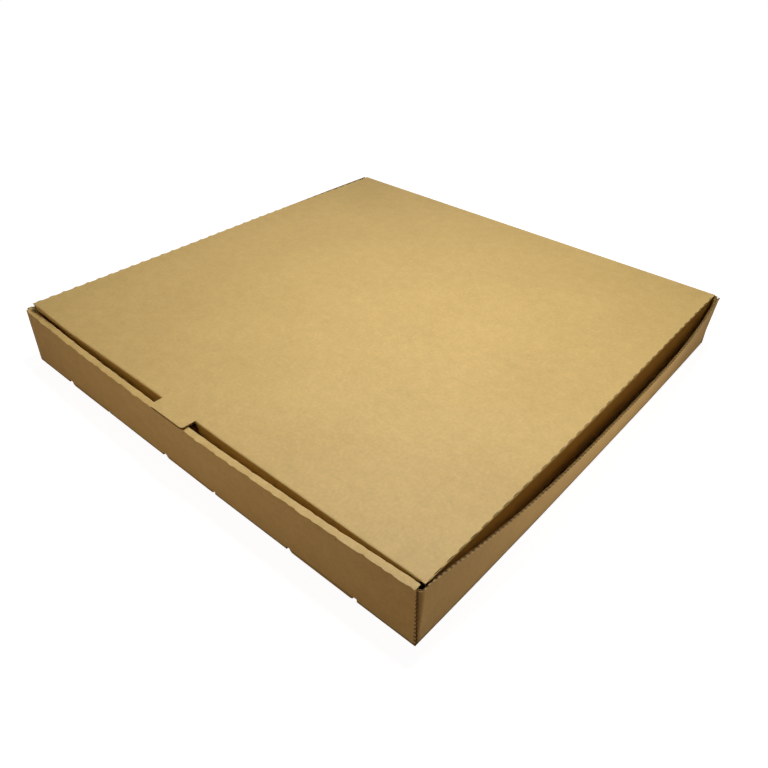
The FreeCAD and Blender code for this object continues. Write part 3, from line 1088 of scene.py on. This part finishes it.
def flute_hollow_shade(tree, place):
    """Painted shade of the flute hollows: spots on the side walls' tops and the front wall's ends."""
    split = add_node(tree, "ShaderNodeSeparateXYZ", {"Vector": place})
    across = compute(tree, "ABSOLUTE", split.outputs["X"])
    along = compute(tree, "ABSOLUTE", split.outputs["Y"])
    # Painted shade of the flute hollows, near the walls' cut tops and the front wall's ends.
    top = ramp(tree, across, SIDE + WALL_TOP - FLUTE_SHADE_WIDTH, SIDE + WALL_TOP - FLUTE_SHADE_WIDTH / 3)
    end = ramp(tree, across, SIDE - BOARD, SIDE - BOARD + FLUTE_SHADE_WIDTH / 2)
    end = compute(tree, "MULTIPLY", end, compute(tree, "LESS_THAN", across, SIDE + TINY))
    end = compute(tree, "MULTIPLY", end, compute(tree, "GREATER_THAN", along, SIDE))
    turn = compute(tree, "MULTIPLY", split.outputs["Y"], 2 * math.pi / FLUTE_PITCH)
    wave = compute(tree, "MULTIPLY_ADD", compute(tree, "SINE", turn), SPOT_HEIGHT, SPOT_LIFT, clamp=True)
    return compute(tree, "MULTIPLY", compute(tree, "MAXIMUM", top, end), wave)


# %% Painted shade, flecks and noises of the paper
# Painted shade: a dark line along the bottom creases where the box meets the floor, and the flute
# hollows.
EDGE_SHADE_WIDTH = 2.4 * MM
PAINTED_SHADE_STRENGTH = 0.85
PAINTED_SHADE_COLOUR = (0.10, 0.05, 0.02)
FLECK_LEVEL = 0.70  # fibre noise above this is a fleck
FLECK_STRENGTH = 0.25
FLECK_COLOUR = (0.22, 0.13, 0.05)
# Scale in a metre, detail, stretch, weight in the tone and weight in the relief.
PAPER_NOISES = {
    "clouds": (18, 2, (1, 1, 1), 0.5, 0),
    "mottle": (120, 3, (1, 1, 1), 0.7, 0.3),
    "speckle": (430, 3, (1, 1, 1), 0.9, 0.5),
    "fibres": (900, 2, (1.0, 0.4, 1), 0.5, 0.4),
    "grain": (2600, 2, (1, 1, 1), 0.4, 0.3),
}
UNEVEN_SHINE = 0.15  # weight of the speckle and the grain in the roughness
print("noises", list(PAPER_NOISES))


# %% The kraft material
def mix_colours(tree, factor, first, second):
    """A colour between two, either of which may be a socket."""
    node = add_node(tree, "ShaderNodeMix", {"Factor": factor}, data_type="RGBA")
    for index, colour in ((6, first), (7, second)):
        if isinstance(colour, bpy.types.NodeSocket):
            tree.links.new(colour, node.inputs[index])
        else:
            node.inputs[index].default_value = (*colour, 1)
    return node.outputs[2]


def kraft(name, dark, light, roughness, with_edge_shade):
    """Kraft paper between two tones, with painted shade on the bottom creases and flutes if wanted."""
    material = bpy.data.materials.new(name)
    material.use_nodes = True
    tree = material.node_tree
    shader = tree.nodes["Principled BSDF"]
    place = add_node(tree, "ShaderNodeUVMap", uv_map="flat").outputs["UV"]
    noises = {}
    in_tone = []
    in_relief = []
    for pattern, (scale, detail, stretch, tone_weight, relief_weight) in PAPER_NOISES.items():
        noises[pattern] = add_noise(tree, place, scale, detail, stretch)
        in_tone.append((noises[pattern], tone_weight))
        if relief_weight:
            in_relief.append((noises[pattern], relief_weight))
    tone = compute(tree, "ADD", weigh(tree, 0.5, in_tone), 0.0, clamp=True)
    colour = mix_colours(tree, tone, dark, light)
    flecks = compute(tree, "GREATER_THAN", noises["fibres"], FLECK_LEVEL)
    flecks = compute(tree, "MULTIPLY", flecks, FLECK_STRENGTH)
    colour = mix_colours(tree, flecks, colour, FLECK_COLOUR)
    # Painted shade: a dark line along the bottom creases, where the box meets the floor, and spots at
    # the flutes.
    if with_edge_shade:
        painted_shade = near_creases(tree, place, EDGE_SHADE_WIDTH)
        painted_shade = compute(tree, "MAXIMUM", painted_shade, flute_hollow_shade(tree, place))
        painted_shade = compute(tree, "MULTIPLY", painted_shade, PAINTED_SHADE_STRENGTH)
        colour = mix_colours(tree, painted_shade, colour, PAINTED_SHADE_COLOUR)
    tree.links.new(colour, shader.inputs["Base Color"])
    shine = [(noises[pattern], UNEVEN_SHINE) for pattern in ("speckle", "grain")]
    tree.links.new(weigh(tree, roughness, shine), shader.inputs["Roughness"])
    height = weigh(tree, 0.0, in_relief)
    bump = add_node(tree, "ShaderNodeBump", {"Height": height, "Strength": 0.25, "Distance": 0.0002})
    tree.links.new(bump.outputs["Normal"], shader.inputs["Normal"])
    return material


# %% Put the papers' materials on
KRAFT = ((0.58, 0.39, 0.13), (0.77, 0.54, 0.195))
INSIDE = ((0.42, 0.26, 0.075), (0.56, 0.36, 0.11))
FLUTE = ((0.34, 0.21, 0.065), (0.52, 0.34, 0.12))
# The tray's papers get painted shade on their bottom creases and flutes; the lid's papers don't.
for body, parts, with_edge_shade in (("tray", tray_parts, True), ("lid", lid_parts, False)):
    for paper, tones, roughness in (
        ("outer_liner", KRAFT, 0.6),
        ("inner_liner", INSIDE, 0.7),
        ("fluting", FLUTE, 0.85),
    ):
        material = kraft(body + "_" + paper, *tones, roughness, with_edge_shade)
        parts[paper].data.materials.append(material)
hinge_crease.data.materials.append(bpy.data.materials["lid_outer_liner"])
print("materials", [material.name for material in bpy.data.materials])

# %% [markdown]
# ## Floor
# The box stands on its three lock tabs and its back edge, so the floor is tilted by half a degree to
# meet them. The camera sees the floor as white, by a glow that only camera rays meet, so no more light
# falls on the box. The lamps still light the floor, so the box keeps a faint shadow. To all other rays
# it is a warm grey that glows weakly, which throws soft light up on the walls.

# %% The floor's shape
FLOOR_HALF = 6.0
FLOOR_GAP = 0.1 * MM
bm = bmesh.new()
bmesh.ops.create_grid(bm, x_segments=1, y_segments=1, size=FLOOR_HALF)
floor_tilt = math.atan(TAB_DROP / (SIDE + FLAP_FACE))
bmesh.ops.rotate(bm, verts=bm.verts[:], matrix=Matrix.Rotation(floor_tilt, 3, "X"))
bmesh.ops.translate(bm, verts=bm.verts[:], vec=(0, 0, -math.tan(floor_tilt) * SIDE - FLOOR_GAP))
mesh = bpy.data.meshes.new("floor")
bm.to_mesh(mesh)
bm.free()
floor = add_object("floor", mesh)
print("floor tilted", round(math.degrees(floor_tilt), 2), "degrees")

# %% The floor's material
SHADE_WHITE = 0.955  # strength of the white glow near the box, where its shadow falls
SHADE_NEAR = 0.3  # distances from the middle of the box between which the glow rises to 1
SHADE_FAR = 0.5
WARM_GREY = (0.34, 0.26, 0.20, 1)
WARM_GLOW = (1, 0.74, 0.52, 1)
WARM_STRENGTH = 0.17
material = bpy.data.materials.new("floor_white")
material.use_nodes = True
tree = material.node_tree
shader = tree.nodes["Principled BSDF"]
shader.inputs["Base Color"].default_value = WARM_GREY
shader.inputs["Emission Color"].default_value = WARM_GLOW
shader.inputs["Emission Strength"].default_value = WARM_STRENGTH
shader.inputs["Roughness"].default_value = 0.9
rays = add_node(tree, "ShaderNodeLightPath")
place = add_node(tree, "ShaderNodeTexCoord").outputs["Object"]
away = add_node(tree, "ShaderNodeVectorMath", {0: place}, operation="LENGTH").outputs["Value"]
inputs = {"Value": away, "From Min": SHADE_NEAR, "From Max": SHADE_FAR}
inputs.update({"To Min": SHADE_WHITE, "To Max": 1.0})
glow = add_node(tree, "ShaderNodeMapRange", inputs).outputs["Result"]
white = add_node(tree, "ShaderNodeEmission", {"Color": (1, 1, 1, 1), "Strength": glow})
pale = add_node(tree, "ShaderNodeBsdfDiffuse", {"Color": (0.3, 0.3, 0.3, 1)})
both = add_node(tree, "ShaderNodeAddShader", {0: white.outputs[0], 1: pale.outputs[0]})
inputs = {0: rays.outputs["Is Camera Ray"], 1: shader.outputs[0], 2: both.outputs[0]}
chosen = add_node(tree, "ShaderNodeMixShader", inputs)
tree.links.new(chosen.outputs[0], tree.nodes["Material Output"].inputs["Surface"])
mesh.materials.append(material)

# %% [markdown]
# ## Light
# A soft lamp hangs close over the lid, a little to the right, so the lid is brightest in its middle.
# A wider one, behind and to the left, gives the paper some sheen. Two small ones stand low, close to
# the right wall and a little further from the front wall. They light the walls, and because they are
# low, not much of their light gets down into the gaps.

# %% The world
world = bpy.data.worlds.new("studio")
bpy.context.scene.world = world
world.use_nodes = True
tree = world.node_tree
rays = add_node(tree, "ShaderNodeLightPath")
tint = mix_colours(tree, rays.outputs["Is Camera Ray"], (0.012, 0.010, 0.008), (1, 1, 1))
tree.links.new(tint, tree.nodes["Background"].inputs["Color"])


# %% The lamps
def lamp(name, place, target, size, power, colour):
    """A square soft lamp that looks at a point."""
    data = bpy.data.lights.new(name, "AREA")
    data.size = size
    data.energy = power
    data.color = colour
    light = add_object(name, data)
    light.location = place
    light.visible_camera = False
    light.rotation_mode = "QUATERNION"
    light.rotation_quaternion = (Vector(target) - Vector(place)).to_track_quat("-Z", "Y")
    print(name, power, "W from", round((Vector(target) - Vector(place)).length, 2), "m")


lamp("overhead", (0.07, 0.01, 0.57), (0.05, 0.01, 0), 0.22, 2.75, (1, 0.99, 1))
lamp("sheen", (-0.49, 0.61, 0.73), (0.08, -0.08, 0.05), 0.6, 1.1, (1, 1, 1))
lamp("right_low", (0.42, 0.01, 0.052), (0.20, 0.01, 0.04), 0.09, 0.175, (1, 0.97, 1))
lamp("front_low", (-0.04, -0.58, 0.045), (-0.04, -0.19, 0.04), 0.08, 0.235, (1, 0.83, 0.68))

# %% [markdown]
# ## The camera
# The camera's place comes from the edges of the box in the photograph: it looks at the near right
# corner from about 41 degrees round and 37 degrees up, tipped by a degree.

# %% The camera
AZIMUTH = math.radians(40.5503)
ELEVATION = math.radians(36.81)
ROLL = math.radians(1.0407)
DISTANCE = 0.5441
TARGET = Vector((0.0319, -0.0333, 0))
LENS = 33.0708  # mm
across = Vector((math.cos(AZIMUTH), math.sin(AZIMUTH), 0))
level_back = Vector((math.sin(AZIMUTH), -math.cos(AZIMUTH), 0))
back = level_back * math.cos(ELEVATION) + Vector((0, 0, math.sin(ELEVATION)))
right = across * math.cos(ROLL) + back.cross(across) * math.sin(ROLL)
axes = Matrix((right, back.cross(right), back)).transposed()
camera = add_object("camera", bpy.data.cameras.new("camera"))
camera.data.lens = LENS
camera.matrix_world = Matrix.Translation(TARGET + back * DISTANCE) @ axes.to_4x4()
bpy.context.scene.camera = camera
bpy.context.scene.view_settings.view_transform = "Standard"
print("camera at", [round(x, 3) for x in camera.matrix_world.translation])
